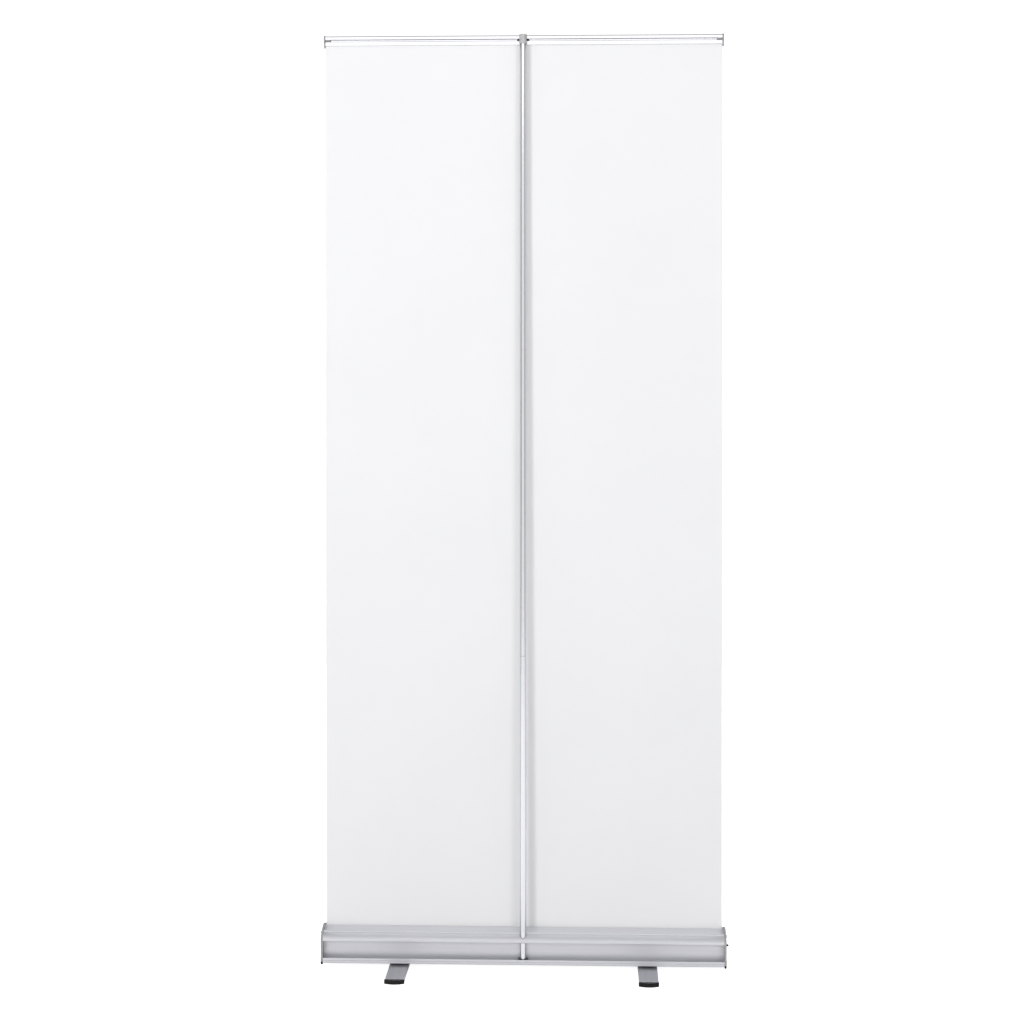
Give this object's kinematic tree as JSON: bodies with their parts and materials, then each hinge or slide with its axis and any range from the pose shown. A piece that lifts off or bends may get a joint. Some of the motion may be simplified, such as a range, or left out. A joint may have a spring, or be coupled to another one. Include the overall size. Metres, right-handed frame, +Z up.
{
  "type": "roll-up banner stand",
  "caption": "Retractable banner stand: sprung roller in an aluminium cassette with swivel feet, a sectional pole, a clamp rail and a blank film graphic.",
  "frame": {"origin": "on the floor under the middle of the cassette, between the two swivel feet", "axes": "+Z up; +X along the cassette, to the right as seen from the pole's side; +Y towards the side the printed face looks to, so the pole stands on the -Y side"},
  "size_m": [0.8802, 0.302, 1.9963],
  "materials": {
    "cassette_aluminium": "clear-anodised extrusion, satin with fine die lines",
    "pole_aluminium": "drawn tube, clear-anodised, brighter than the extrusion",
    "rail_aluminium": "clear-anodised extrusion, satin",
    "roller_aluminium": "mill-finish tube",
    "foot_aluminium": "clear-anodised extrusion, satin",
    "end_plate": "silver-grey moulded plate",
    "rail_cap": "silver-grey moulded cap",
    "head_plastic": "mid-grey moulded head",
    "hook_plastic": "dark grey moulded hook",
    "black_plastic": "black moulded plastic, fine texture",
    "nylon": "natural nylon",
    "steel": "zinc-plated steel",
    "spring_steel": "oiled spring wire",
    "film": "blank back of the printed film, off-white",
    "elastic": "braided elastic cord",
    "rubber": "soft black pad"
  },
  "bodies": {
    "cassette": {"housing": "cassette_aluminium", "pole_seat": "black_plastic", "pole_seat_screws": "steel", "spring_shaft": "steel", "spring_collar": "steel", "torsion_spring": "spring_steel", "stub_axle": "steel", "end_plate_left": "end_plate", "end_plate_screws_left": "steel", "end_pad_left": "rubber", "foot_bolt_left": "steel", "foot_spacer_left": "black_plastic", "foot_nut_washer_left": "steel", "foot_nut_left": "steel", "end_plate_right": "end_plate", "end_plate_screws_right": "steel", "end_pad_right": "rubber", "foot_bolt_right": "steel", "foot_spacer_right": "black_plastic", "foot_nut_washer_right": "steel", "foot_nut_right": "steel"},
    "foot_left": {"foot_bar_left": "foot_aluminium", "foot_bush_left": "nylon", "foot_cap_left_rear": "black_plastic", "foot_cap_left_front": "black_plastic"},
    "foot_right": {"foot_bar_right": "foot_aluminium", "foot_bush_right": "nylon", "foot_cap_right_rear": "black_plastic", "foot_cap_right_front": "black_plastic"},
    "roller": {"roller_tube": "roller_aluminium", "graphic_wraps": "film", "roller_plug_left": "nylon", "roller_plug_right": "nylon", "shaft_steady": "nylon"},
    "lock_pin_body": {"lock_pin": "black_plastic"},
    "pole_lower": {"pole_tube_lower": "pole_aluminium", "ferrule_lower": "steel", "pole_foot_plug": "black_plastic", "elastic_cord": "elastic"},
    "pole_middle": {"pole_tube_middle": "pole_aluminium", "ferrule_upper": "steel"},
    "pole_upper": {"pole_tube_upper": "pole_aluminium", "pole_head": "head_plastic", "rail_hook": "hook_plastic"},
    "rail": {"rail_back": "rail_aluminium", "rail_end_cap_left": "rail_cap", "rail_end_cap_right": "rail_cap", "graphic_sheet": "film"},
    "jaw": {"rail_jaw": "rail_aluminium"}
  },
  "joints": [
    {"name": "foot_left_swivel", "type": "hinge", "parent": "cassette", "child": "foot_left", "pos_m": [-0.265, 0, 0.007], "axis": [0, 0, 1], "continuous": true},
    {"name": "foot_right_swivel", "type": "hinge", "parent": "cassette", "child": "foot_right", "pos_m": [0.265, 0, 0.007], "axis": [0, 0, 1], "continuous": true},
    {"name": "pole_lift", "type": "slide", "parent": "cassette", "child": "pole_lower", "axis": [0, 0, 1], "range_m": [0, 0.062]},
    {"name": "pole_pull_lower", "type": "slide", "parent": "pole_lower", "child": "pole_middle", "axis": [0, 0, 1], "range_m": [0, 0.028]},
    {"name": "pole_pull_upper", "type": "slide", "parent": "pole_middle", "child": "pole_upper", "axis": [0, 0, 1], "range_m": [0, 0.028]},
    {"name": "rail_travel", "type": "slide", "parent": "pole_upper", "child": "rail", "axis": [0, -0.0087, 1], "range_m": [-1.884, 0.0055], "deforming": ["graphic_sheet"]},
    {"name": "jaw_open", "type": "hinge", "parent": "rail", "child": "jaw", "pos_m": [0, -0.0151, 1.9916], "axis": [1, 0, 0], "range_deg": [0, 60]},
    {"name": "roller_spin", "type": "hinge", "parent": "cassette", "child": "roller", "pos_m": [0, 0.0165, 0.043], "axis": [1, 0, 0], "range_deg": [-60, 6200]},
    {"name": "lock_pin_push", "type": "slide", "parent": "cassette", "child": "lock_pin_body", "axis": [-1, 0, 0], "range_m": [0, 0.0055]}
  ],
  "couplings": [
    {"joint": "roller_spin", "follows": "rail_travel", "rad_per_m": -56.5}
  ]
}
